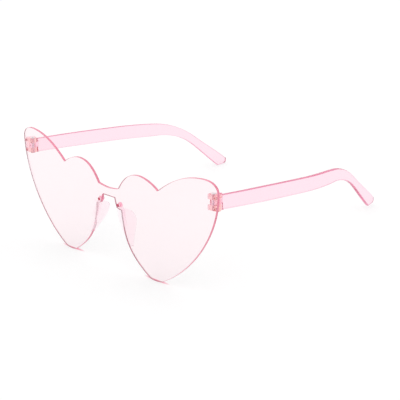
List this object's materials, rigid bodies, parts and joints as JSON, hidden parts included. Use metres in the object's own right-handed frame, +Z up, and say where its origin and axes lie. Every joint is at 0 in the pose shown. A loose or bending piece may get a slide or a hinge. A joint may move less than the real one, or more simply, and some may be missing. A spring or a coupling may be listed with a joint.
{
  "type": "heart-shaped sunglasses",
  "caption": "Rimless heart-shaped sunglasses with a bent sheet lens of clear pink plastic, moulded nose pads, and clear pink temples that fold on steel hinge screws.",
  "frame": {"origin": "on the table, in the middle of the footprint that the front and the open temples take up", "axes": "+X to the wearer's left, +Y from the lens back to the temple tips, so the front faces -Y, and +Z up"},
  "size_m": [0.1501, 0.1545, 0.0604],
  "materials": {
    "lens_sheet": "clear, polished on both faces, with a deeper pink at the cut edge",
    "hinge_plastic": "clear, polished",
    "temple_plastic": "clear, polished",
    "pad_plastic": "clear, softly polished",
    "screw_steel": "turned, with a slotted head"
  },
  "bodies": {
    "front": {"heart_lens": "lens_sheet", "hinge_block_left": "hinge_plastic", "hinge_block_right": "hinge_plastic", "hinge_screw_left": "screw_steel", "hinge_screw_right": "screw_steel", "nose_pad_left": "pad_plastic", "nose_pad_right": "pad_plastic"},
    "left_temple": {"temple_left": "temple_plastic"},
    "right_temple": {"temple_right": "temple_plastic"}
  },
  "joints": [
    {"name": "left_temple_fold", "type": "hinge", "parent": "front", "child": "left_temple", "pos_m": [0.0692, -0.06877, 0.0494], "axis": [0, 0.0376, 0.9993], "range_deg": [-5.2, 81]},
    {"name": "right_temple_fold", "type": "hinge", "parent": "front", "child": "right_temple", "pos_m": [-0.0692, -0.06877, 0.0494], "axis": [0, -0.0376, -0.9993], "range_deg": [0, 77]}
  ]
}
